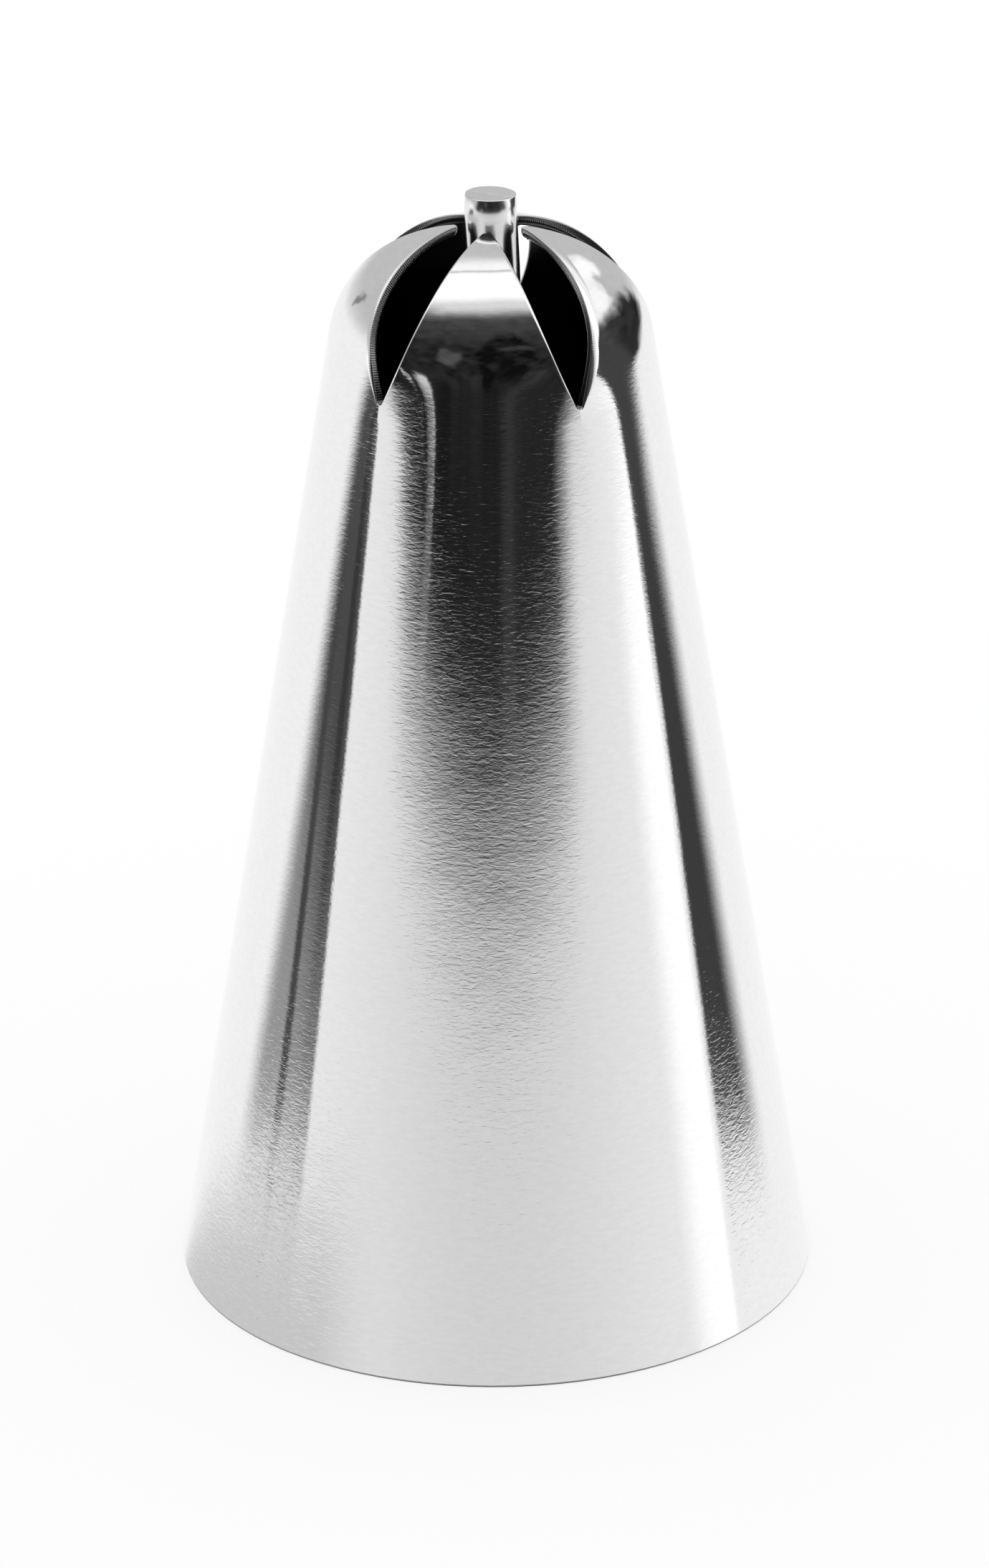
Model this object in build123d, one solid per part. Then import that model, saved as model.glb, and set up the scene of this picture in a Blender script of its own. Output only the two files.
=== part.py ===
from build123d import *
from math import cos, degrees, pi, radians, sin, tan
import os

# Drop-flower piping nozzle: one conical stainless sheet whose top is cut into five petals that bend
# inwards, and a round pin that stands up between the petal tips. A bar welded across the inside of the
# cone carries the pin. Millimetres and degrees. The origin is the centre of the base circle, +Z is the
# axis of the cone, and the middle of one petal faces -Y.

# Driving dimensions of the sheet
base_diameter = 18.0
sheet_thickness = 0.30
wall_taper = 9.5
bend_start_height = 27.65

# Driving dimensions of the petals, which bend inwards in two arcs until their tips stand round the pin
petal_count = 5
shoulder_radius = 2.45
shoulder_turn = 16.5
crown_turn = 60.0
slot_drop = 1.30
slot_end_width = 0.20
slot_end_rounding = 0.10
petal_tip_width = 0.20
petal_waist = 0.23
tip_clearance = 0.20

# Driving dimensions of the pin and of what carries it
pin_diameter = 1.43
pin_stand_out = 0.85
pin_end_chamfer = 0.06
bar_diameter = 1.20
bar_height = 13.0
saddle_depth = 0.35
bar_bead_size = 0.70
pin_bead_size = 0.45

# Making of the cutters and curves
curve_steps = 8
cut_share = 0.6
front_turn = -90.0


def radial(turn):
    """Direction in the XZ plane that leans in from straight up by this many degrees."""
    return Vector(-sin(radians(turn)), cos(radians(turn)))


def outward(turn):
    """Direction in the XZ plane square to radial(turn), out of the sheet."""
    return Vector(cos(radians(turn)), sin(radians(turn)))


# Outer face of the sheet in the XZ plane: a straight wall, then the shoulder arc, then the crown arc,
# whose radius brings the tips to their clearance round the pin
base_radius = base_diameter / 2
rim_width = sheet_thickness / cos(radians(wall_taper))
crown_lean = wall_taper + shoulder_turn
tip_lean = crown_lean + crown_turn
shoulder_start = Vector(base_radius - bend_start_height * tan(radians(wall_taper)), bend_start_height)
shoulder_center = shoulder_start - outward(wall_taper) * shoulder_radius
crown_start = shoulder_center + outward(crown_lean) * shoulder_radius
tip_radius = pin_diameter / 2 + tip_clearance + sheet_thickness * cos(radians(tip_lean))
crown_radius = (crown_start.X - tip_radius) / (cos(radians(crown_lean)) - cos(radians(tip_lean)))
crown_center = crown_start - outward(crown_lean) * crown_radius
tip_outer = crown_center + outward(tip_lean) * crown_radius
tip_inner = tip_outer - outward(tip_lean) * sheet_thickness

# Lengths along the outer face, from where the edges of a slot meet to the tips
slot_bottom_height = bend_start_height - slot_drop
slot_bottom_radius = base_radius - slot_bottom_height * tan(radians(wall_taper))
straight_length = slot_drop / cos(radians(wall_taper))
shoulder_length = shoulder_radius * radians(shoulder_turn)
petal_length = straight_length + shoulder_length + crown_radius * radians(crown_turn)


def wall_radius(height):
    """Inner radius of the straight wall at a height."""
    return base_radius - rim_width - height * tan(radians(wall_taper))


def face_point(length):
    """Point of the outer face at a length above the point where the edges of a slot meet."""
    if length < straight_length:
        slot_bottom = Vector(slot_bottom_radius, slot_bottom_height)
        return slot_bottom + radial(wall_taper) * length
    if length < straight_length + shoulder_length:
        turn = wall_taper + degrees((length - straight_length) / shoulder_radius)
        return shoulder_center + outward(turn) * shoulder_radius
    turn = crown_lean + degrees((length - straight_length - shoulder_length) / crown_radius)
    return crown_center + outward(turn) * crown_radius


def petal_half_width(length):
    """Half width of a petal, measured along the sheet: it tapers to its tip with a slight waist."""
    share = length / petal_length
    root = slot_bottom_radius * pi / petal_count
    return root * (1 - share) + petal_tip_width / 2 * share - petal_waist * share * (1 - share)


def slot_end_length():
    """Length at which a slot has its end width, with the sheet taken as a straight cone there."""
    half_slot = pi / petal_count
    petal_slope = (petal_half_width(0) - petal_half_width(petal_length) + petal_waist) / petal_length
    return slot_end_width / 2 / (petal_slope - half_slot * sin(radians(wall_taper)))


def sheet_profile():
    """Section of the sheet, from the rim at the base to the end of a petal."""
    inner_start = Vector(base_radius - rim_width, 0)
    inner_bend = shoulder_start - outward(wall_taper) * sheet_thickness
    inner_crown = crown_start - outward(crown_lean) * sheet_thickness
    with BuildSketch(Plane.XZ) as section:
        with BuildLine():
            Line((base_radius, 0), shoulder_start)
            JernArc(shoulder_start, radial(wall_taper), shoulder_radius, shoulder_turn)
            JernArc(crown_start, radial(crown_lean), crown_radius, crown_turn)
            Line(tip_outer, tip_inner)
            JernArc(inner_crown, radial(crown_lean), crown_radius - sheet_thickness, crown_turn)
            JernArc(inner_bend, radial(wall_taper), shoulder_radius - sheet_thickness, shoulder_turn)
            Line(inner_bend, inner_start)
            Line(inner_start, (base_radius, 0))
        make_face()
    return section.sketch


def slot_cutter():
    """Prism that cuts one slot about the +X direction, square to the chord of the petals' curve."""
    slot_bottom = face_point(0)
    chord = tip_outer - slot_bottom
    chord_length = chord.length
    chord_dir = chord.normalized()
    cut_depth = chord_length * cut_share
    half_slot = pi / petal_count
    end_length = slot_end_length()
    edge = []
    for step in range(curve_steps + 1):
        length = end_length + (petal_length - end_length) * step / curve_steps
        point = face_point(length)
        angle = half_slot - petal_half_width(length) / point.X
        along = (Vector(point.X * cos(angle), point.Y) - slot_bottom).dot(chord_dir)
        edge.append((along, point.X * sin(angle)))
    mirrored = [(along, -side) for along, side in edge]
    end_point = (edge[0][0] - slot_end_rounding, 0)
    axis_point = (chord_length + tip_outer.X * abs(chord_dir.X), 0)
    chord_plane = Plane(
        origin=(slot_bottom.X, 0, slot_bottom.Y),
        x_dir=(chord_dir.X, 0, chord_dir.Y),
        z_dir=(chord_dir.Y, 0, -chord_dir.X),
    )
    with BuildPart() as cutter:
        with BuildSketch(chord_plane.offset(-cut_depth)):
            with BuildLine():
                ThreePointArc(mirrored[0], end_point, edge[0])
                Spline(*edge)
                Line(edge[-1], axis_point)
                Line(axis_point, mirrored[-1])
                Spline(*mirrored)
            make_face()
        extrude(amount=2 * cut_depth)
    return cutter.part


def nozzle_shell():
    """The cone and its petals, one sheet."""
    cutter = slot_cutter()
    turns = [front_turn + (index + 0.5) * 360 / petal_count for index in range(petal_count)]
    return revolve(sheet_profile(), Axis.Z) - [cutter.rotate(Axis.Z, turn) for turn in turns]


def inner_space():
    """Solid that fills the straight part of the cone, for trimming the bar and its beads to the wall."""
    top = bar_height + bar_diameter + bar_bead_size
    with BuildPart() as space:
        with BuildSketch(Plane.XZ):
            Polygon((0, 0), (wall_radius(0), 0), (wall_radius(top), top), (0, top), align=None)
        revolve(axis=Axis.Z)
    return space.part


def bar_rod(length):
    """Plain round rod along X at the height of the bar."""
    return Pos(0, 0, bar_height) * Rot(0, 90, 0) * Cylinder(bar_diameter / 2, length)


def cross_bar():
    """Bar across the inside, its ends trimmed to the wall."""
    return bar_rod(base_diameter) & inner_space()


def center_pin():
    """Round pin that sits over the bar in a saddle and stands up past the petal tips."""
    foot = bar_height + bar_diameter / 2 - saddle_depth
    top = tip_outer.Y + pin_stand_out
    pin = Pos(0, 0, foot) * Cylinder(
        pin_diameter / 2, top - foot, align=(Align.CENTER, Align.CENTER, Align.MIN)
    )
    pin = chamfer(pin.edges().group_by(Axis.Z)[-1], pin_end_chamfer)
    return pin - bar_rod(base_diameter)


def bead(rod_radius, size):
    """Collar of weld metal round a rod that stands up from the XY plane."""
    with BuildPart() as collar:
        with BuildSketch(Plane.XZ):
            with BuildLine():
                Line((0, -size), (rod_radius + size, -size))
                Line((rod_radius + size, -size), (rod_radius + size, 0))
                Line((rod_radius + size, 0), (rod_radius, size))
                Line((rod_radius, size), (0, size))
                Line((0, size), (0, -size))
            make_face()
        revolve(axis=Axis.Z)
    return collar.part


def bar_welds():
    """Two beads round the ends of the bar, trimmed to the wall."""
    reach = wall_radius(bar_height)
    beads = []
    for side in (-1, 1):
        bar_end = Pos(side * reach, 0, bar_height) * Rot(0, -90 * side, 0)
        collar = bar_end * bead(bar_diameter / 2, bar_bead_size)
        beads.append((collar & inner_space()) - bar_rod(base_diameter))
    return Compound(children=[solid for piece in beads for solid in piece.solids()])


def pin_weld():
    """Bead round the foot of the pin, on the bar."""
    collar = Pos(0, 0, bar_height + bar_diameter / 2) * bead(pin_diameter / 2, pin_bead_size)
    return collar - center_pin() - bar_rod(base_diameter)


nodes = {
    "nozzle_shell": nozzle_shell(),
    "center_pin": center_pin(),
    "cross_bar": cross_bar(),
    "bar_welds": bar_welds(),
    "pin_weld": pin_weld(),
}

os.makedirs("parts", exist_ok=True)
for name, shape in nodes.items():
    export_step(shape, f"parts/{name}.step")
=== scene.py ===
import math

import bpy
import numpy as np
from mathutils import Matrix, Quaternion, Vector


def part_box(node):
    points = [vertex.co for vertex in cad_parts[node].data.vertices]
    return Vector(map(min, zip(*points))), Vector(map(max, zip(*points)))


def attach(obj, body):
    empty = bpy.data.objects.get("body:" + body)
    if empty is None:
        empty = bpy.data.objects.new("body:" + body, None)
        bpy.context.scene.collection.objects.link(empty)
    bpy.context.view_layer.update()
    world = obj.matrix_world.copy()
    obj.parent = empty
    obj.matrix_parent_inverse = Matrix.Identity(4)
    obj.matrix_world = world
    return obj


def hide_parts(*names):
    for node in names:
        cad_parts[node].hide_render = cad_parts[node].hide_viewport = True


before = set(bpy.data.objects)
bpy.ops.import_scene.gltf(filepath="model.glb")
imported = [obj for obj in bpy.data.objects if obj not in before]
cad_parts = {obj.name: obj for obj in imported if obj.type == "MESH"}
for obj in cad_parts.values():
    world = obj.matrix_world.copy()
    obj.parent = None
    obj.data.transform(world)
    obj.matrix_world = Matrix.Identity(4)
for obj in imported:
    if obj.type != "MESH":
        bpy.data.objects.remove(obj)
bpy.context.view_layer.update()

# Looks of a drop-flower piping nozzle. Lengths are metres; MM turns millimetres into them. The nozzle
# stands on Z = 0 with its axis on Z, and the middle of its front petal faces -Y.
MM = 0.001

# Sizes read from the frame
BASE_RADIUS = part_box("nozzle_shell")[1].x
PIN_LOW, PIN_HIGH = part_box("center_pin")
PIN_RADIUS = (PIN_HIGH.x - PIN_LOW.x) / 2
PIN_TOP = PIN_HIGH.z

# Sheet and petals, as the solids have them
SHEET = 0.30 * MM
WALL_LEAN = math.radians(9.5)
BEND_START = 27.65 * MM
SHOULDER_RADIUS = 2.45 * MM
SHOULDER_TURN = math.radians(16.5)
CROWN_TURN = math.radians(60.0)
PETALS = 5
SLOT_DROP = 1.30 * MM
SLOT_ROUNDING = 0.10 * MM
PETAL_TIP_WIDTH = 0.20 * MM
PETAL_WAIST = 0.23 * MM
TIP_CLEARANCE = 0.20 * MM
FRONT_TURN = math.radians(-90.0)

# Edges of the sheet, which are rolled over, rounded and thinned, and the easing of its bends. A pair in
# brackets is one petal's two flanks, the clockwise one first as seen from above. The petals run
# counter-clockwise from the front one
ROLL_TURN = math.radians(26.0)
ROLL_WIDTHS = tuple(tuple(w * MM for w in pair) for pair in (
    (0.05, 0.08), (0.23, 0.12), (0.12, 0.12), (0.12, 0.12), (0.12, 0.13)
))
ROLL_FADE = 1.1 * MM
EDGE_THINNING = 0.07 * MM, 0.13 * MM
THINNING_START = 3.2 * MM
CORNER_ROUNDING = 0.025 * MM
INNER_ROUNDING = 0.03 * MM
RIM_ROUNDING = 0.08 * MM
RIM_FLARE = 0.17
TIP_ROUNDING = 0.18 * MM
BEND_EASE = 0.35 * MM

# Ribs left by the shears on the cut edges, and on the rolls before them, as shares of a full tooth
TOOTH_PITCH = 0.062 * MM
TOOTH_SHAPE = (0.0, 1.0, 0.45)
TOOTH_DEPTH = 0.011 * MM
RIB_SHARES = ((0.3, 0.3), (0.2, 0.5), (0.5, 0.5), (0.5, 0.5), (0.6, 1.6))
ROLL_RIB_SHARES = ((0.0, 0.0), (0.5, 0.0), (0.3, 0.3), (0.3, 0.3), (0.0, 1.7))

# Fineness of the sheet's mesh
PROFILE_STEP = 0.01 * MM
PROFILE_MARGIN = 1.0 * MM
ROUND_STEPS = 4
FACE_HALF_STEPS = 9
WALL_ROWS = 12
NECK_LENGTH = 4.0 * MM
NECK_ROWS = 24
END_ROWS = 6
JOINS_PER_METRE = 1e7

# Flattening of each petal across its bend, by turning the normals. It fades out down the wall and stops
# below the slots, and each flank has its own share of it
FLAT_SHARE = 0.48
FLAT_START = 1.65 * MM
FLAT_FADE = 1.15 * MM
FLAT_CHANGE = 0.9 * MM, 1.6 * MM
FLAT_CORE = 0.2
NEAR_SLOT = 0.65
SLOT_FADE_SHARE = 0.3
FLANK_SHARES = ((1.0, 1.0), (1.0, 0.8), (0.7, 1.1), (1.1, 0.8), (0.9, 0.35))

# Centre pin: rounded toward its end, bowed a little, and nipped off with a ridge and a small burr. Each
# wave on its side has a count round it, a climb in radians a metre, and a size as a share of the radius
PIN_STEPS = 96
PIN_SIDE_ROWS = 40
PIN_EASE_ROWS = 16
PIN_END_ROWS = 22
PIN_EASE = 0.62 * MM
PIN_END_LEAN = math.radians(27.0)
PIN_END_INSET = 0.03 * MM
PIN_END_DROP = 0.014 * MM
PIN_END_SLOPE = 0.02
PIN_RIM = 0.06 * MM
PIN_BOW = 0.09 * MM
PIN_BOW_HEIGHT = 28.6 * MM
PIN_BOW_SPREAD = 1.7 * MM
PIN_RIDGE_TURN = math.radians(-24.0)
PIN_RIDGE_SHIFT = -0.10 * MM
PIN_FRONT_SLOPE = 0.02
PIN_BACK_SLOPE = 0.0
FACET_SLOPES = 0.03, 0.17
BURR_SPREAD = 0.45
BURR_SIZE = 0.02 * MM
PIN_RIM_NARROWING = 0.025
PIN_WAVES = (3, 900, 0.004), (5, -1700, 0.003)
TINY = 1e-14

# Steel: scales of its noises, the heights over which they change and over which the inner face's painted
# shade lightens toward the base, and its shades
MICROMETRE = 0.000001
MARKS_SCALE = 3800.0, 3800.0, 10500.0
MARKS_FADE = BEND_START - 1.2 * MM, BEND_START + 0.4 * MM
MARKS_ON_PETALS = 0.3
GROOVES_SCALE = 2400.0, 2400.0, 24000.0
GROOVE_RANGE = 0.64, 0.82
DENTS_SCALE = 620.0
DENTS_RISE = BEND_START - 2.0 * MM, BEND_START + 0.6 * MM
DENTS_ON_WALL = 0.2
DARKER = 0.93
LIGHTER = 1.05
QUARTER_TURN = 0.25
# Inner face's painted shade: the lighter painted shade below the first height, the near-black painted
# shade above the second
INNER_SHADE_HEIGHTS = 8.0 * MM, 22.0 * MM

# Studio: how far the noise above the horizon moves edges, in degrees, and how much it mottles the tone
SWAY = 8.0
LIFT = 7.0
MOTTLE = 0.05
DARKEST = 0.004
STIR_SCALE = 11.0

# Bends of the studio's outlines: of the base rim as the cone mirrors it, of the room and of the lamp
RIM_CURVE = 0.00063
ROOM_CURVE = -0.00035
LAMP_CURVE = 0.10

# Floor: its half width and colour, and the glow that the camera sees, weaker near the nozzle
FLOOR_HALF = 3.0
FLOOR_COLOR = 0.8, 0.8, 0.8
WHITE = 1.0, 1.0, 1.0
FLOOR_GLOW = 1.08
GLOW_RISE = 20.0 * MM, 120.0 * MM
GLOW_NEAR = 0.7

# Camera
PHOTO_HEIGHT = 2188
SENSOR = 36.0
FOCAL_PIXELS = 8249.0
CAMERA_DISTANCE = 165.0 * MM
CAMERA_RISE = math.radians(22.10)
CAMERA_TURN = math.radians(4.95)
CAMERA_ROLL = math.radians(-0.354)
AIM_HEIGHT = 14.22 * MM
AIM_SIDE = 0.022 * MM
CLIP_START = 0.01
CLIP_END = 20.0


# Shape of the sheet

def lean_frame(lean):
    """Unit vectors in the plane of radius and height: along the sheet, and out of it."""
    return np.array([-math.sin(lean), math.cos(lean)]), np.array([math.cos(lean), math.sin(lean)])


CROWN_LEAN = WALL_LEAN + SHOULDER_TURN
TIP_LEAN = CROWN_LEAN + CROWN_TURN
BEND_RADIUS = BASE_RADIUS - BEND_START * math.tan(WALL_LEAN)
BEND_POINT = np.array([BEND_RADIUS, BEND_START])
SHOULDER_CENTER = BEND_POINT - lean_frame(WALL_LEAN)[1] * SHOULDER_RADIUS
CROWN_POINT = SHOULDER_CENTER + lean_frame(CROWN_LEAN)[1] * SHOULDER_RADIUS
TIP_RADIUS = PIN_RADIUS + TIP_CLEARANCE + SHEET * math.cos(TIP_LEAN)
CROWN_RADIUS = (CROWN_POINT[0] - TIP_RADIUS) / (math.cos(CROWN_LEAN) - math.cos(TIP_LEAN))
SLOT_RADIUS = BASE_RADIUS - (BEND_START - SLOT_DROP) * math.tan(WALL_LEAN)
STRAIGHT = SLOT_DROP / math.cos(WALL_LEAN)
SHOULDER_LENGTH = SHOULDER_RADIUS * SHOULDER_TURN
PETAL_LENGTH = STRAIGHT + SHOULDER_LENGTH + CROWN_RADIUS * CROWN_TURN
WALL_LENGTH = (BEND_START - SLOT_DROP) / math.cos(WALL_LEAN)
SECTOR = math.pi / PETALS


def profile_table():
    """Outer face in steps along the sheet, with the bends eased into one another."""
    step = PROFILE_STEP
    length = np.arange(-WALL_LENGTH - PROFILE_MARGIN, PETAL_LENGTH + PROFILE_MARGIN, step)
    past_bend = np.maximum(length - STRAIGHT, 0.0)
    in_shoulder = np.minimum(past_bend, SHOULDER_LENGTH)
    lean = WALL_LEAN + in_shoulder / SHOULDER_RADIUS + (past_bend - in_shoulder) / CROWN_RADIUS
    spread = np.exp(-0.5 * (np.arange(-3 * BEND_EASE, 3 * BEND_EASE + step / 2, step) / BEND_EASE) ** 2)
    reach = len(spread) // 2
    beyond = lean[-1] + np.arange(1, reach + 1) * step / CROWN_RADIUS
    padded = np.concatenate([np.full(reach, lean[0]), lean, beyond])
    lean = np.convolve(padded, spread / spread.sum(), "valid")
    radius = np.concatenate([[0], -np.cumsum((np.sin(lean[1:]) + np.sin(lean[:-1])) / 2 * step)])
    height = np.concatenate([[0], np.cumsum((np.cos(lean[1:]) + np.cos(lean[:-1])) / 2 * step)])
    start = np.interp(-WALL_LENGTH, length, radius), np.interp(-WALL_LENGTH, length, height)
    return length, radius - start[0] + BASE_RADIUS, height - start[1], lean


PROFILE = profile_table()


def profile(length):
    """Radius, height and lean of the outer face at lengths above the slots' meeting point."""
    return tuple(np.interp(length, PROFILE[0], column) for column in PROFILE[1:])


def smooth_step(value):
    value = np.clip(value, 0.0, 1.0)
    return value * value * (3 - 2 * value)


def facing(length, azimuth, petal):
    """Azimuth that the sheet faces, which the flattening turns toward the middle of its petal."""
    middle = FRONT_TURN + 2 * SECTOR * petal
    offset = (azimuth - middle + math.pi) % (2 * math.pi) - math.pi
    radius = profile(length)[0]
    edge = petal_half_width(np.maximum(length, 0.0)) / radius
    across = np.clip(np.abs(offset) / edge, 0.0, 1.0)
    in_petal = smooth_step((length - FLAT_CHANGE[0]) / (FLAT_CHANGE[1] - FLAT_CHANGE[0]))
    shape = (1 - in_petal) * smooth_step((across - FLAT_CORE) / (1 - FLAT_CORE)) + in_petal * across
    flank = np.where(offset < 0, FLANK_SHARES[petal][0], FLANK_SHARES[petal][1])
    flank = flank + (1 - flank) * in_petal
    share = FLAT_SHARE * np.exp(np.minimum(length - FLAT_START, 0.0) / FLAT_FADE)
    near_slot = smooth_step((np.abs(offset) / SECTOR - NEAR_SLOT) / (1 - NEAR_SLOT))
    below = smooth_step(-length / (SLOT_FADE_SHARE * FLAT_FADE)) * near_slot
    return azimuth - np.sign(offset) * share * flank * edge * shape * (1 - below)


def sheet_point(length, azimuth, depth, petal):
    """Points of the sheet at a length along it, an azimuth from +X and a depth below its outer face."""
    radius, height, lean = profile(length)
    faced = facing(length, azimuth, petal)
    normal = np.stack([np.cos(lean) * np.cos(faced), np.cos(lean) * np.sin(faced), np.sin(lean)], -1)
    radius = radius - depth * np.cos(lean)
    height = height - depth * np.sin(lean)
    return np.stack([radius * np.cos(azimuth), radius * np.sin(azimuth), height], -1), normal


def petal_half_width(length):
    """Half width of a petal along the sheet, before its tip is rounded."""
    share = length / PETAL_LENGTH
    root = SLOT_RADIUS * SECTOR
    return root * (1 - share) + PETAL_TIP_WIDTH / 2 * share - PETAL_WAIST * share * (1 - share)


def petal_outline():
    """Edge of half a petal from the bottom of the slot to the middle of the tip.

    Each row gives the length, the azimuth from the petal's middle, the outward normal along and
    across the petal, and the share of a tooth that stands there."""
    root = SLOT_RADIUS * SECTOR
    slope_low = (root - PETAL_TIP_WIDTH / 2 + PETAL_WAIST) / PETAL_LENGTH - SECTOR * math.sin(WALL_LEAN)
    open_low = math.atan(slope_low)
    low_center = SLOT_ROUNDING / math.sin(open_low)
    slope_high = (root - PETAL_TIP_WIDTH / 2 - PETAL_WAIST) / PETAL_LENGTH
    open_high = math.atan(slope_high)
    high_center = PETAL_LENGTH - TIP_ROUNDING
    rows = []
    for step in range(END_ROWS):
        turn = (math.pi / 2 - open_low) * step / END_ROWS
        length = low_center - SLOT_ROUNDING * math.cos(turn)
        gap = SLOT_ROUNDING * math.sin(turn)
        radius = profile(np.array([length]))[0][0]
        rows.append((length, SECTOR - gap / radius, math.cos(turn), math.sin(turn), 0.0))
    first = low_center - SLOT_ROUNDING * math.sin(open_low)
    last = high_center + TIP_ROUNDING * math.sin(open_high)
    teeth = round((last - first) / TOOTH_PITCH)
    count = teeth * len(TOOTH_SHAPE)
    for step in range(count + 1):
        length = first + (last - first) * step / count
        radius = profile(np.array([length]))[0][0]
        slope = slope_low + (slope_high - slope_low) * step / count
        across = 1 / math.hypot(1, slope)
        tooth = TOOTH_SHAPE[step % len(TOOTH_SHAPE)]
        rows.append((length, petal_half_width(length) / radius, slope * across, across, tooth))
    for step in range(1, END_ROWS + 1):
        turn = open_high + (math.pi / 2 - open_high) * step / END_ROWS
        length = high_center + TIP_ROUNDING * math.sin(turn)
        radius = profile(np.array([length]))[0][0]
        half_turn = TIP_ROUNDING * math.cos(turn) / radius
        rows.append((length, half_turn, math.sin(turn), math.cos(turn), 0.0))
    return np.array(rows)


def roll_section(width):
    """Inset, depth and turn of the points where the outer face rolls gently over before a cut edge.

    The width, and so the inset and the depth, has one value for each row of the outline."""
    points = []
    for step in range(ROUND_STEPS + 1):
        share = step / ROUND_STEPS
        depth = width * math.tan(ROLL_TURN) / 2 * share ** 2
        points.append((width * (1 - share) + CORNER_ROUNDING, depth, ROLL_TURN * share))
    return points


def wall_section(width, inner_rounding):
    """Inset, depth and turn of the points of the cut edge itself, from outer corner to inner one."""
    top = width * math.tan(ROLL_TURN) / 2
    points = []
    for step in range(ROUND_STEPS + 1):
        turn = ROLL_TURN + (math.pi / 2 - ROLL_TURN) * step / ROUND_STEPS
        inset = CORNER_ROUNDING * (1 - math.sin(turn)) / (1 - math.sin(ROLL_TURN))
        depth = top + CORNER_ROUNDING * (math.cos(ROLL_TURN) - math.cos(turn))
        points.append((inset, depth, turn))
    for step in range(ROUND_STEPS + 1):
        turn = math.pi / 2 * step / ROUND_STEPS
        inset = inner_rounding * (1 - math.cos(turn))
        depth = SHEET - inner_rounding * (1 - math.sin(turn))
        points.append((inset, depth, math.pi / 2 + turn))
    return points


class MeshMaker:
    """Collects quads of points with their normals, and joins points that fall together."""

    def __init__(self):
        self.points = []
        self.normals = []
        self.index = {}
        self.faces = []
        self.slots = []

    def add(self, point, normal):
        key = tuple(np.round(point * JOINS_PER_METRE).astype(int))
        if key not in self.index:
            self.index[key] = len(self.points)
            self.points.append(point)
            self.normals.append(np.zeros(3))
        found = self.index[key]
        self.normals[found] = self.normals[found] + normal
        return found

    def grid(self, points, normals, flip=False, slot=0):
        """Faces between the rows and columns of a grid of points."""
        rows, columns = points.shape[:2]
        ids = [[self.add(points[i, j], normals[i, j]) for j in range(columns)] for i in range(rows)]
        for i in range(rows - 1):
            for j in range(columns - 1):
                corners = [ids[i][j], ids[i][j + 1], ids[i + 1][j + 1], ids[i + 1][j]]
                corners = [c for n, c in enumerate(corners) if c != corners[n - 1]]
                if len(set(corners)) < 3:
                    continue
                self.faces.append(corners[::-1] if flip else corners)
                self.slots.append(slot)

    def build(self, name, materials):
        mesh = bpy.data.meshes.new(name)
        mesh.from_pydata([tuple(p) for p in self.points], [], self.faces)
        for material in materials:
            mesh.materials.append(material)
        mesh.polygons.foreach_set("material_index", self.slots)
        mesh.polygons.foreach_set("use_smooth", [True] * len(self.faces))
        normals = [tuple(n / max(np.linalg.norm(n), 1e-9)) for n in self.normals]
        mesh.normals_split_custom_set_from_vertices(normals)
        mesh.update()
        piece = bpy.data.objects.new(name, mesh)
        bpy.context.scene.collection.objects.link(piece)
        return piece


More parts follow.
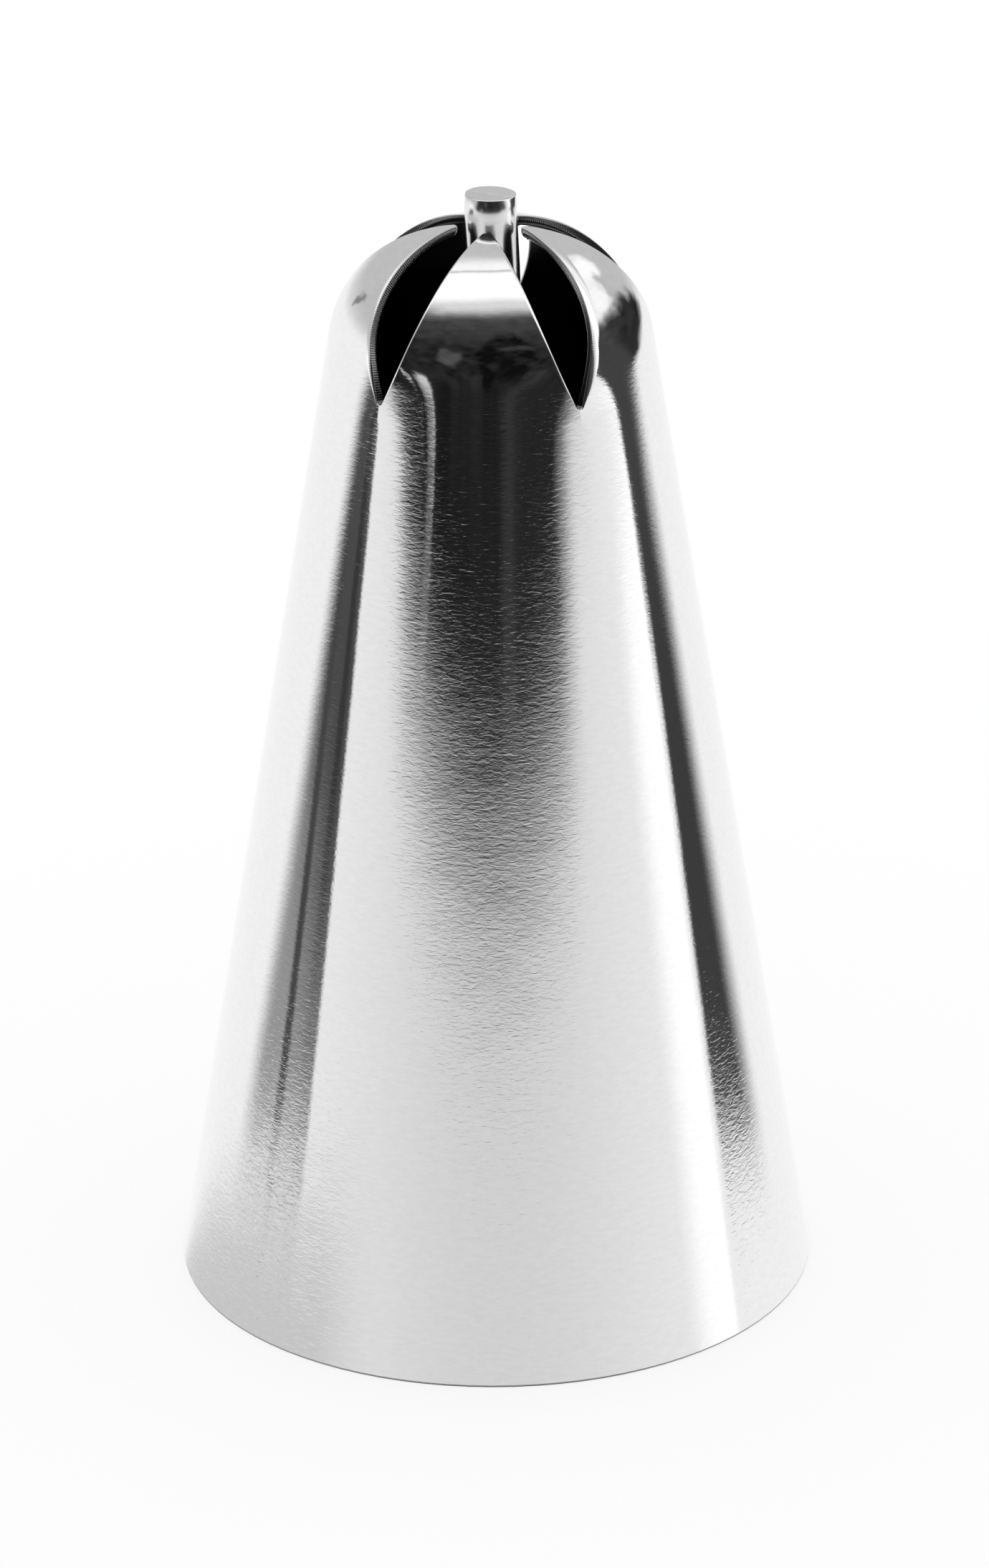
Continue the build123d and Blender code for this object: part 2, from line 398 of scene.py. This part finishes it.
def build_shell(materials):
    """The cone and its petals as one closed sheet with cut edges."""
    maker = MeshMaker()
    outline = petal_outline()
    length, turn, along, across, tooth = outline.T
    radius = profile(length)[0]
    rib_slope = TOOTH_DEPTH * np.gradient(tooth) / (TOOTH_PITCH / len(TOOTH_SHAPE))
    steps = np.linspace(0, 1, FACE_HALF_STEPS + 1)
    rolled = smooth_step(length / ROLL_FADE) * smooth_step((PETAL_LENGTH - length) / ROLL_FADE)
    toward_tip = smooth_step((length - THINNING_START) / (PETAL_LENGTH - THINNING_START))
    thinned = smooth_step(length / ROLL_FADE) * EDGE_THINNING[0]
    thinned = thinned + EDGE_THINNING[1] * toward_tip
    inner_rounding = INNER_ROUNDING + thinned
    for petal in range(PETALS):
        middle = FRONT_TURN + 2 * SECTOR * petal
        for side, width, wall_ribs, roll_ribs in zip(
            (-1, 1), ROLL_WIDTHS[petal], RIB_SHARES[petal], ROLL_RIB_SHARES[petal]
        ):
            roll = width * rolled
            for slot, depth, rounding, first in (
                (0, 0.0, roll + CORNER_ROUNDING, RIM_ROUNDING - WALL_LENGTH),
                (1, SHEET, inner_rounding, INNER_ROUNDING + SHEET * math.tan(WALL_LEAN) - WALL_LENGTH),
            ):
                face_length = length - rounding * along
                face_turn = turn - rounding * across / radius
                face_turn[0] = SECTOR
                face_turn[-1] = 0.0
                wall_lengths = np.concatenate([
                    np.linspace(first, -NECK_LENGTH, WALL_ROWS, endpoint=False),
                    np.linspace(-NECK_LENGTH, face_length[0], NECK_ROWS),
                ])
                wall_turns = np.tile(middle + side * steps * SECTOR, (len(wall_lengths), 1))
                wall_grid = np.tile(wall_lengths[:, None], (1, len(steps)))
                petal_turns = middle + side * face_turn[:, None] * steps
                petal_grid = np.tile(face_length[:, None], (1, len(steps)))
                flip = bool(slot) != (side < 0)
                for grid, turns in ((wall_grid, wall_turns), (petal_grid, petal_turns)):
                    points, normals = sheet_point(grid, turns, depth, petal)
                    maker.grid(points, -normals if slot else normals, flip=flip, slot=slot)
            for slot, section in ((0, roll_section(roll)), (2, wall_section(roll, inner_rounding))):
                columns = []
                column_normals = []
                for inset, depth, edge_turn in section:
                    ribs = wall_ribs if math.pi / 4 < edge_turn < 3 * math.pi / 4 else 0.0
                    if slot == 0:
                        ribs = roll_ribs * edge_turn / ROLL_TURN
                    inner = inset + TOOTH_DEPTH * wall_ribs * tooth * (1.0 if slot and ribs else 0.0)
                    row_length = length - inner * along
                    row_turn = turn - inner * across / radius
                    row_turn[0] = SECTOR
                    row_turn[-1] = 0.0
                    azimuth = middle + side * row_turn
                    points, normals = sheet_point(row_length, azimuth, depth, petal)
                    around = side * np.stack([-np.sin(azimuth), np.cos(azimuth), 0 * azimuth], -1)
                    upward = side * np.cross(normals, around)
                    outward = upward * along[:, None] + around * across[:, None]
                    rising = upward * across[:, None] - around * along[:, None]
                    outward = outward + rising * (ribs * rib_slope)[:, None]
                    columns.append(points)
                    column_normals.append(normals * math.cos(edge_turn) + outward * math.sin(edge_turn))
                maker.grid(np.stack(columns, 1), np.stack(column_normals, 1), flip=side < 0, slot=slot)
            rim_points, rim_normals = rim_grid(
                RIM_ROUNDING - WALL_LENGTH,
                INNER_ROUNDING + SHEET * math.tan(WALL_LEAN) - WALL_LENGTH,
                middle + side * steps * SECTOR,
            )
            maker.grid(rim_points, rim_normals, flip=side > 0, slot=2)
    return maker.build("nozzle_shell_sheet", materials)


def rim_grid(outer_start, inner_start, azimuths):
    """Section of the base rim, from the outer face to the inner one, flat on the floor."""
    outer_radius, outer_height = (profile(np.array([outer_start]))[i][0] for i in (0, 1))
    inner_radius, inner_height = (profile(np.array([inner_start]))[i][0] for i in (0, 1))
    inner_radius -= SHEET * math.cos(WALL_LEAN)
    inner_height -= SHEET * math.sin(WALL_LEAN)
    section = []
    for step in range(ROUND_STEPS + 1):
        turn = math.pi / 2 * step / ROUND_STEPS
        drop = outer_height * (1 - math.sin(turn))
        flare = outer_height * RIM_FLARE * math.sin(turn)
        radius = outer_radius + flare - RIM_ROUNDING * (1 - math.cos(turn))
        section.append((radius, drop, WALL_LEAN - turn * (1 + WALL_LEAN / (math.pi / 2))))
    for step in range(ROUND_STEPS + 1):
        turn = math.pi / 2 * step / ROUND_STEPS
        radius = inner_radius + INNER_ROUNDING * (1 - math.sin(turn))
        height = inner_height * (1 - math.cos(turn))
        section.append((radius, height, -math.pi / 2 - turn * (1 - WALL_LEAN / (math.pi / 2))))
    points = np.zeros((len(section), len(azimuths), 3))
    normals = np.zeros_like(points)
    for i, (radius, height, turn) in enumerate(section):
        around = np.stack([np.cos(azimuths), np.sin(azimuths), 0 * azimuths], -1)
        points[i] = around * radius + np.array([0, 0, height])
        normals[i] = around * math.cos(turn) + np.array([0, 0, math.sin(turn)])
    return points, normals


def pin_profile(height):
    """Radius and lean of the pin's side at a height: rounded toward its end."""
    share = np.clip((height - (PIN_TOP - PIN_EASE)) / PIN_EASE, 0.0, 1.0)
    return PIN_RADIUS - PIN_END_INSET * share ** 2.5, PIN_END_LEAN * share ** 1.5


def end_height(x, y, front_slope, back_slope):
    """Height of the pin's end face, whose two halves slope down from a ridge across it."""
    ridge = x * math.sin(PIN_RIDGE_TURN) - y * math.cos(PIN_RIDGE_TURN) + PIN_RIDGE_SHIFT
    return PIN_TOP - PIN_END_DROP - PIN_END_SLOPE * x - np.maximum(ridge, 0.0) * front_slope \
        + np.minimum(ridge, 0.0) * back_slope


def bow(height):
    """Sideways shift of the pin's axis."""
    return PIN_BOW * np.exp(-((height - PIN_BOW_HEIGHT) / PIN_BOW_SPREAD) ** 2)


def build_pin(material):
    """Centre pin, slightly bowed, with a nipped end that has two faces and a small burr."""
    maker = MeshMaker()
    azimuths = np.linspace(0, 2 * math.pi, PIN_STEPS + 1)
    around = np.stack([np.cos(azimuths), np.sin(azimuths), 0 * azimuths], -1)
    burr = np.exp(-(((azimuths + math.pi) % (2 * math.pi) - math.pi) / BURR_SPREAD) ** 2)
    rows = []
    row_normals = []
    for height in np.concatenate([
        np.linspace(PIN_LOW.z, PIN_TOP - PIN_EASE, PIN_SIDE_ROWS, endpoint=False),
        np.linspace(PIN_TOP - PIN_EASE, PIN_TOP - PIN_RIM, PIN_EASE_ROWS),
    ]):
        radius, lean = pin_profile(height)
        wave = 1.0
        for turns, climb, size in PIN_WAVES:
            wave = wave + size * np.sin(turns * azimuths + height * climb)
        points = around * (radius * wave)[:, None] + np.array([bow(height), 0, height])
        rows.append(points)
        row_normals.append(around * math.cos(lean) + np.array([0, 0, math.sin(lean)]))
    maker.grid(np.stack(rows), np.stack(row_normals))
    shoulder = rows[-1]
    rows = [shoulder]
    row_normals = [row_normals[-1]]
    rim_radius = pin_profile(PIN_TOP)[0]
    for share in np.linspace(0.25, 1.0, 4):
        turn = PIN_END_LEAN + (math.pi / 2 - PIN_END_LEAN) * share
        x = rim_radius * (1 - PIN_RIM_NARROWING * share) * np.cos(azimuths) + BURR_SIZE * burr
        y = rim_radius * (1 - PIN_RIM_NARROWING * share) * np.sin(azimuths)
        top = end_height(x, y, PIN_FRONT_SLOPE, PIN_BACK_SLOPE) + BURR_SIZE * burr
        z = shoulder[:, 2] + (top - shoulder[:, 2]) * math.sin(share * math.pi / 2)
        rows.append(np.stack([x + bow(PIN_TOP), y, z], -1))
        row_normals.append(around * math.cos(turn) + np.array([0, 0, math.sin(turn)]))
    maker.grid(np.stack(rows), np.stack(row_normals))
    rim = rows[-1]
    rim_height = end_height(rim[:, 0], rim[:, 1], PIN_FRONT_SLOPE, PIN_BACK_SLOPE)
    face_rows = [rim]
    rim_facet = end_height(rim[:, 0], rim[:, 1], *FACET_SLOPES)
    facet_rows = [np.stack([rim[:, 0], rim[:, 1], rim_facet], -1)]
    for share in np.concatenate([np.linspace(0.94, 0.1, PIN_END_ROWS), [0.0]]):
        x = rim[:, 0] * share
        y = rim[:, 1] * share
        lift = (rim[:, 2] - rim_height) * share ** 6
        face_rows.append(np.stack([x, y, end_height(x, y, PIN_FRONT_SLOPE, PIN_BACK_SLOPE) + lift], -1))
        facet_rows.append(np.stack([x, y, end_height(x, y, *FACET_SLOPES) + lift], -1))
    maker.grid(np.stack(face_rows), face_normals(np.stack(facet_rows)))
    center = np.tile([0.0, 0.0, PIN_LOW.z], (len(azimuths), 1))
    ring = around * PIN_RADIUS + center
    maker.grid(np.stack([ring, center]), np.tile([0.0, 0.0, -1.0], (2, len(azimuths), 1)), flip=True)
    return maker.build("center_pin_drawn", [material])


def face_normals(grid):
    """Upward normals of a grid of points whose rows run round and whose last row is one point."""
    inward = np.gradient(grid, axis=0)
    closed = np.concatenate([grid[:, -2:-1], grid, grid[:, 1:2]], axis=1)
    around = (closed[:, 2:] - closed[:, :-2]) / 2
    cross = np.cross(around, inward)
    size = np.linalg.norm(cross, axis=-1, keepdims=True)
    normals = np.where(size > TINY, cross / np.maximum(size, TINY), np.array([0.0, 0.0, 1.0]))
    return normals * np.sign(np.where(normals[..., 2:] == 0, 1, normals[..., 2:]))


# Materials

class Shader:
    """Short ways to add nodes to a material's or the world's tree."""

    def __init__(self, tree):
        self.tree = tree
        tree.nodes.clear()

    def node(self, kind, inputs=None, **settings):
        made = self.tree.nodes.new(kind)
        for key, value in settings.items():
            setattr(made, key, value)
        for key, value in (inputs or {}).items():
            socket = self.socket(made, key)
            if isinstance(value, bpy.types.NodeSocket):
                self.tree.links.new(value, socket)
            else:
                socket.default_value = value
        return made

    def socket(self, node, key):
        """Input of a node by number or name, the visible one where names repeat."""
        if isinstance(key, int):
            return node.inputs[key]
        return next(s for s in node.inputs if s.name == key and s.enabled)

    def math(self, operation, first, second=0.0, third=0.0):
        values = {0: first, 1: second, 2: third}
        return self.node("ShaderNodeMath", values, operation=operation).outputs[0]

    def ramp(self, value, low, high, start=0.0, end=1.0):
        """Smooth step from start at low to end at high."""
        inputs = {"Value": value, "From Min": low, "From Max": high, "To Min": start, "To Max": end}
        return self.node("ShaderNodeMapRange", inputs, interpolation_type="SMOOTHSTEP").outputs[0]

    def band(self, value, low, high, soft_low, soft_high=None):
        """One inside low to high, falling to zero over the soft widths outside."""
        soft_high = soft_low if soft_high is None else soft_high
        rise = self.ramp(value, low - soft_low, low)
        fall = self.ramp(value, high, high + soft_high, 1.0, 0.0)
        return self.math("MULTIPLY", rise, fall)

    def mix(self, factor, first, second):
        """Mix of two numbers."""
        inputs = {"Factor": factor, "A": first, "B": second}
        return self.node("ShaderNodeMix", inputs, data_type="FLOAT", clamp_factor=True).outputs[0]

    def blend(self, factor, first, second):
        """Mix of two colours."""
        made = self.node("ShaderNodeMix", {"Factor": factor, "A": first, "B": second}, data_type="RGBA")
        return next(s for s in made.outputs if s.enabled)

    def noise(self, place, output="Fac", **inputs):
        """Noise at a place; inputs by the names of the node's sockets."""
        return self.node("ShaderNodeTexNoise", {"Vector": place, **inputs}).outputs[output]

    def scaled(self, place, scale):
        """A place stretched by three scales, for noise that isn't the same in all directions."""
        return self.node("ShaderNodeMapping", {"Vector": place, "Scale": scale}).outputs[0]


def steel(name, color, roughness, anisotropy, marks, grooves, dents=0.0, low_painted_shade=None):
    """Bright drawn steel with short polishing marks round the axis.

    Marks, grooves and dents are heights in micrometres. Where there are dents, they are full on the
    petals and weak on the wall, and the marks fade on the petals. Where a colour toward the base is
    given, both colours are painted shade: the inside is painted near black up high and a lighter painted
    shade toward the base."""
    material = bpy.data.materials.new(name)
    material.use_nodes = True
    shader = Shader(material.node_tree)
    place = shader.node("ShaderNodeTexCoord").outputs["Object"]
    marks_place = shader.scaled(place, MARKS_SCALE)
    fine = shader.noise(marks_place, Scale=1.0, Detail=2.0, Roughness=0.55, Distortion=0.8)
    groove = shader.noise(shader.scaled(place, GROOVES_SCALE), Scale=1.0, Detail=0.0, Distortion=0.3)
    height = shader.ramp(groove, *GROOVE_RANGE, 0.0, -grooves)
    if dents:
        rise = shader.node("ShaderNodeSeparateXYZ", {"Vector": place}).outputs["Z"]
        fading = shader.ramp(rise, *MARKS_FADE, marks, MARKS_ON_PETALS * marks)
        height = shader.math("MULTIPLY_ADD", fine, fading, height)
        dent = shader.noise(place, Scale=DENTS_SCALE, Detail=1.0, Roughness=0.4)
        share = shader.ramp(rise, *DENTS_RISE, DENTS_ON_WALL * dents, dents)
        height = shader.math("MULTIPLY_ADD", dent, share, height)
    else:
        height = shader.math("MULTIPLY_ADD", fine, marks, height)
    bump = shader.node("ShaderNodeBump", {"Height": height, "Strength": 1.0, "Distance": MICROMETRE})
    spread = shader.noise(marks_place, Scale=0.9, Detail=2.0)
    shown = shader.blend(spread, shaded(color, DARKER), shaded(color, LIGHTER))
    # painted shade: the inside darkens from the lighter colour at the base to the near-black main colour
    # up high
    if low_painted_shade:
        rise = shader.node("ShaderNodeSeparateXYZ", {"Vector": place}).outputs["Z"]
        shown = shader.blend(shader.ramp(rise, *INNER_SHADE_HEIGHTS, 1.0, 0.0), shown, shaded(low_painted_shade))
    surface = shader.node("ShaderNodeBsdfPrincipled", {
        "Base Color": shown,
        "Metallic": 1.0,
        "Roughness": roughness,
        "Anisotropic": anisotropy,
        "Anisotropic Rotation": QUARTER_TURN,
        "Normal": bump.outputs[0],
    })
    direction = shader.node("ShaderNodeTangent", direction_type="RADIAL", axis="Z").outputs[0]
    shader.tree.links.new(direction, surface.inputs["Tangent"])
    shader.node("ShaderNodeOutputMaterial", {"Surface": surface.outputs[0]})
    return material


def shaded(color, share=1.0):
    """The colour, darker or lighter by a share, with its alpha."""
    return (*(min(channel * share, 1.0) for channel in color), 1.0)


# Stage

def studio_tone(k, az, el, side, front, up):
    """Brightness of the studio in a direction; angles in degrees, zero azimuth toward the camera.

    In each mix the first value is a mask of directions, and the last one is the brightness there."""
    def spot(az_mid, el_mid, az_half, el_half, slant=0.0, core=0.1):
        """One in the core of an oval patch of the studio, falling to zero at its border."""
        rise = k.math("SUBTRACT", el, el_mid)
        across = k.math("SUBTRACT", az, k.math("MULTIPLY_ADD", rise, slant, az_mid))
        across = k.math("POWER", k.math("MULTIPLY", k.math("ABSOLUTE", across), 1 / az_half), 2.0)
        along = k.math("POWER", k.math("MULTIPLY", k.math("ABSOLUTE", rise), 1 / el_half), 2.0)
        return k.ramp(k.math("ADD", across, along), core, 1.0, 1.0, 0.0)

    wide = k.math("ABSOLUTE", az)
    # paper all round, greyer toward the camera
    tone = k.ramp(wide, 0, 115, 0.74, 1.0)
    glow = k.math("MULTIPLY", k.band(az, 84, 93, 14, 3), k.ramp(el, -4.5, -6.5, 0, 0.22))
    tone = k.math("ADD", tone, glow)
    rim_height = k.math("MULTIPLY_ADD", k.math("MULTIPLY", az, az), RIM_CURVE, el)
    skirt = k.math("MULTIPLY", k.band(az, -150, -70, 30, 30), k.ramp(rim_height, -7.2, -8.4))
    tone = k.mix(skirt, tone, 0.65)

    # ceiling: a lamp strip overhead, greyer to the back
    overhead = k.math("MULTIPLY_ADD", k.math("MULTIPLY", side, side), LAMP_CURVE, front)
    ceiling = k.ramp(overhead, -0.60, -0.24, 0.62, 1.10)
    ceiling = k.mix(k.band(overhead, -0.19, -0.18, 0.025, 0.025), ceiling, 0.66)
    ceiling = k.mix(k.band(overhead, -0.13, 0.20, 0.02, 0.06), ceiling, 1.30)
    ceiling = k.mix(k.ramp(overhead, 0.24, 0.34), ceiling, 0.80)
    ceiling = k.mix(k.ramp(overhead, 0.36, 0.56), ceiling, 0.075)
    back_wall = k.ramp(up, -0.07, 0.22, 1.0, 0.585)
    ceiling = k.mix(k.ramp(front, -0.30, -0.62), ceiling, back_wall)
    left_side = k.math("MULTIPLY", k.ramp(side, -0.50, -0.80), k.ramp(up, 0.0, 0.30))
    ceiling = k.mix(left_side, ceiling, 0.57)
    tone = k.mix(k.ramp(up, -0.06, 0.06), tone, ceiling)

    # two lighter and two darker patches that the side petals mirror
    tone = k.mix(spot(139, 31, 14, 8.5), tone, 1.15)
    tone = k.mix(spot(123, 22, 10, 14, 0.3), tone, 1.10)
    tone = k.mix(spot(133.5, 22.5, 3.4, 7.5, 0.3), tone, 0.55)
    tone = k.mix(spot(-139, 9.5, 2.2, 5.0, 0.25), tone, 0.26)

    # dark room behind the camera, with window strips, a hanging lamp and an arch
    depth = k.math("MULTIPLY_ADD", k.math("MULTIPLY", az, az), ROOM_CURVE, el)
    edge = k.ramp(el, -3.4, -1.6)
    left_wall = k.ramp(k.math("MULTIPLY_ADD", edge, 9.0, az), -60, -45)
    right_wall = k.ramp(k.math("MULTIPLY_ADD", edge, -3.0, az), 33, 52, 1.0, 0.0)
    room = k.math("MULTIPLY", left_wall, right_wall)
    room = k.math("MULTIPLY", room, k.band(depth, -2.1, 47, 3.9, 17))
    inside = k.ramp(el, 26, 52, 0.019, 0.058)
    inside = k.mix(spot(1, 21, 14, 26, 0.0, 0.5), inside, 0.008)
    inside = k.mix(spot(7, 30, 12, 3.2), inside, 0.040)
    inside = k.mix(spot(-21.5, 19, 6.5, 10), inside, 0.085)
    inside = k.mix(k.ramp(el, 1.5, -0.5), inside, k.ramp(az, -30, 12, 0.009, 0.017))
    arch_mid = k.ramp(el, -1.0, 1.5, 9.0, 16.0)
    arch = k.band(k.math("SUBTRACT", az, arch_mid), -1.5, 1.5, 4.0, 4.0)
    inside = k.mix(k.math("MULTIPLY", arch, k.ramp(el, 9, 5.5)), inside, 0.036)
    shine = k.ramp(el, -1.6, 0.3, 0.08, 0.64)
    strip = k.math("MULTIPLY", k.band(az, -39.0, -37.4, 1.8, 1.8), k.band(el, -2.0, 1.6, 2.5, 3.0))
    inside = k.mix(strip, inside, shine)
    inside = k.mix(spot(-44.5, 3.2, 1.8, 3.6, -0.6), inside, 0.50)

    # dark things standing to the left and to the right
    foot = k.ramp(rim_height, -7.45, -6.9)
    left_edge = k.math("MULTIPLY_ADD", el, 1.9, -86.5)
    left = k.ramp(k.math("SUBTRACT", az, left_edge), -5, 5)
    left = k.math("MULTIPLY", left, k.ramp(az, -80.5, -78.0, 1.0, 0.0))
    left = k.math("MULTIPLY", left, k.ramp(el, -4.4, -2.6, 1.0, 0.0))
    left_tone = k.ramp(el, -12.5, -8.0, 0.34, 0.075)
    left_tone = k.mix(k.band(az, -97.0, -95.2, 2.5, 2.5), left_tone, 0.066)
    core_tone = k.ramp(el, -12.5, -8.0, 0.34, 0.042)
    left_tone = k.mix(k.band(az, -85.5, -83.5, 2.0, 2.0), left_tone, core_tone)

    near = k.math("MULTIPLY_ADD", k.math("MAXIMUM", el, -6.8), -2.0, 83.7)
    far = k.math("MULTIPLY_ADD", el, -1.1, 103.5)
    far = k.math("MULTIPLY_ADD", k.math("MAXIMUM", k.math("ADD", el, 9.7), 0.0), -1.6, far)
    right = k.math("MULTIPLY", k.ramp(k.math("SUBTRACT", az, near), -1.5, 1.8),
                   k.ramp(k.math("SUBTRACT", az, far), -6, 9, 1.0, 0.0))
    right = k.math("MULTIPLY", right, k.ramp(el, -3.0, 0.0, 1.0, 0.0))
    top = k.math("MULTIPLY_ADD", k.math("MAXIMUM", k.math("SUBTRACT", az, 131.0), 0.0), 1.0, el)
    end = k.ramp(el, -10, 9, 128, 143)
    chair = k.ramp(k.math("SUBTRACT", az, end), -4.5, 5.0, 1.0, 0.0)
    chair = k.math("MULTIPLY", k.ramp(top, 11.5, 21.0, 1.0, 0.0), chair)
    chair = k.math("MULTIPLY", chair, k.math("MULTIPLY", k.ramp(el, -8.8, -7.0), k.ramp(az, 93, 97)))
    chair_tone = k.ramp(az, 112, 120, 0.06, 0.028)

    tone = k.mix(k.math("MULTIPLY", left, foot), tone, left_tone)
    tone = k.mix(k.math("MULTIPLY", right, foot), tone, 0.050)
    tone = k.mix(chair, tone, chair_tone)
    tone = k.mix(room, tone, inside)
    # far below the horizon: greyer, and dark straight down
    tone = k.mix(k.ramp(el, -20, -48), tone, k.ramp(wide, 10, 150, 0.45, 0.70))
    tone = k.mix(k.ramp(el, -54, -72), tone, 0.20)
    return tone


def studio_world():
    """White studio round the nozzle, with the dark places that a polished cone shows."""
    world = bpy.data.worlds.new("studio")
    bpy.context.scene.world = world
    world.use_nodes = True
    shader = Shader(world.node_tree)
    direction = shader.node("ShaderNodeTexCoord").outputs["Generated"]
    turned = shader.node(
        "ShaderNodeVectorRotate",
        {"Vector": direction, "Angle": -CAMERA_TURN},
        rotation_type="Z_AXIS",
    ).outputs[0]
    side, back, up = shader.node("ShaderNodeSeparateXYZ", {"Vector": turned}).outputs
    front = shader.math("MULTIPLY", back, -1.0)
    azimuth = shader.math("MULTIPLY", shader.math("ARCTAN2", side, front), 180 / math.pi)
    rise = shader.math("MULTIPLY", shader.math("ARCSINE", up), 180 / math.pi)
    # uneven edges above the horizon, as dented petals would show them
    stir = shader.noise(direction, "Color", Scale=STIR_SCALE, Detail=1.0)
    red, green, blue = shader.node("ShaderNodeSeparateColor", {"Color": stir}).outputs
    above = shader.ramp(rise, -3.0, 4.0)
    sway = shader.math("MULTIPLY", shader.math("SUBTRACT", red, 0.5), SWAY)
    lift = shader.math("MULTIPLY", shader.math("SUBTRACT", green, 0.5), LIFT)
    azimuth = shader.math("MULTIPLY_ADD", sway, above, azimuth)
    rise = shader.math("MULTIPLY_ADD", lift, above, rise)
    tone = studio_tone(shader, azimuth, rise, side, front, up)
    mottle = shader.math("MULTIPLY", shader.math("SUBTRACT", blue, 0.5), MOTTLE)
    tone = shader.math("MAXIMUM", shader.math("MULTIPLY_ADD", mottle, above, tone), DARKEST)
    path = shader.node("ShaderNodeLightPath")
    level = shader.mix(path.outputs["Is Glossy Ray"], 1.0, tone)
    surface = shader.node("ShaderNodeBackground", {"Color": shaded(WHITE), "Strength": level}).outputs[0]
    shader.node("ShaderNodeOutputWorld", {"Surface": surface})


def floor():
    """Pale floor that keeps the nozzle's shadow and that polished metal doesn't see."""
    mesh = bpy.data.meshes.new("floor")
    signs = ((-1, -1), (1, -1), (1, 1), (-1, 1))
    corners = [(x * FLOOR_HALF, y * FLOOR_HALF, 0) for x, y in signs]
    mesh.from_pydata(corners, [], [(0, 1, 2, 3)])
    piece = bpy.data.objects.new("floor", mesh)
    bpy.context.scene.collection.objects.link(piece)
    material = bpy.data.materials.new("floor_paper")
    material.use_nodes = True
    shader = Shader(material.node_tree)
    place = shader.node("ShaderNodeTexCoord").outputs["Object"]
    distance = shader.node("ShaderNodeVectorMath", {0: place}, operation="LENGTH").outputs["Value"]
    paper = shader.node("ShaderNodeBsdfDiffuse", {"Color": shaded(FLOOR_COLOR)}).outputs[0]
    white = shader.node("ShaderNodeEmission", {"Color": shaded(WHITE), "Strength": FLOOR_GLOW}).outputs[0]
    # no glow inside the nozzle's base, where little light comes
    outside = shader.math("GREATER_THAN", distance, BASE_RADIUS - SHEET)
    share = shader.math("MULTIPLY", shader.ramp(distance, *GLOW_RISE, GLOW_NEAR, 1.0), outside)
    path = shader.node("ShaderNodeLightPath")
    seen = shader.math("MULTIPLY", path.outputs["Is Camera Ray"], share)
    top = shader.node("ShaderNodeMixShader", {0: seen, 1: paper, 2: white}).outputs[0]
    clear = shader.node("ShaderNodeBsdfTransparent").outputs[0]
    below = shader.node("ShaderNodeNewGeometry").outputs["Backfacing"]
    through = shader.math("MAXIMUM", below, path.outputs["Is Glossy Ray"])
    surface = shader.node("ShaderNodeMixShader", {0: through, 1: top, 2: clear}).outputs[0]
    shader.node("ShaderNodeOutputMaterial", {"Surface": surface})
    mesh.materials.append(material)


def camera():
    """Camera at the photograph's viewing angle."""
    right = Vector((math.cos(CAMERA_TURN), math.sin(CAMERA_TURN), 0))
    level = Vector((-math.sin(CAMERA_TURN), math.cos(CAMERA_TURN), 0))
    forward = level * math.cos(CAMERA_RISE) - Vector((0, 0, math.sin(CAMERA_RISE)))
    aim = right * AIM_SIDE + Vector((0, 0, AIM_HEIGHT))
    data = bpy.data.cameras.new("camera")
    data.sensor_width = SENSOR
    data.lens = FOCAL_PIXELS * SENSOR / PHOTO_HEIGHT
    data.clip_start = CLIP_START
    data.clip_end = CLIP_END
    piece = bpy.data.objects.new("camera", data)
    bpy.context.scene.collection.objects.link(piece)
    piece.location = aim - forward * CAMERA_DISTANCE
    piece.rotation_mode = "QUATERNION"
    turn = forward.to_track_quat("-Z", "Y")
    piece.rotation_quaternion = turn @ Quaternion((0, 0, 1), CAMERA_ROLL)
    bpy.context.scene.camera = piece


bpy.context.scene.view_settings.view_transform = "Standard"
camera()
studio_world()
floor()

shell_steel = steel("shell_steel", (0.86, 0.86, 0.86), 0.05, 0.3, marks=1.25, grooves=0.12, dents=16.0)
# Inner face: painted shade, near black up high and a lighter painted grey toward the base, for the shade
# inside the cone
inner_steel_painted_shade = steel(
    "inner_steel_painted_shade", (0.015, 0.015, 0.015), 0.35, 0.3, marks=1.0, grooves=0.0, low_painted_shade=(0.34, 0.34, 0.34)
)
edge_steel = steel("edge_steel", (0.42, 0.42, 0.42), 0.18, 0.0, marks=0.5, grooves=0.0)
pin_steel = steel("pin_steel", (0.82, 0.82, 0.82), 0.17, 0.0, marks=0.6, grooves=0.1, dents=14.0)
weld_steel = steel("weld_steel", (0.45, 0.44, 0.42), 0.35, 0.0, marks=3.0, grooves=0.0)

shell = build_shell([shell_steel, inner_steel_painted_shade, edge_steel])
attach(shell, "root")
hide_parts("nozzle_shell")

pin = build_pin(pin_steel)
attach(pin, "root")
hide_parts("center_pin")

for node_name, material in (
    ("cross_bar", pin_steel),
    ("bar_welds", weld_steel),
    ("pin_weld", weld_steel),
):
    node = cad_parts[node_name]
    node.data.materials.clear()
    node.data.materials.append(material)

bpy.context.view_layer.update()
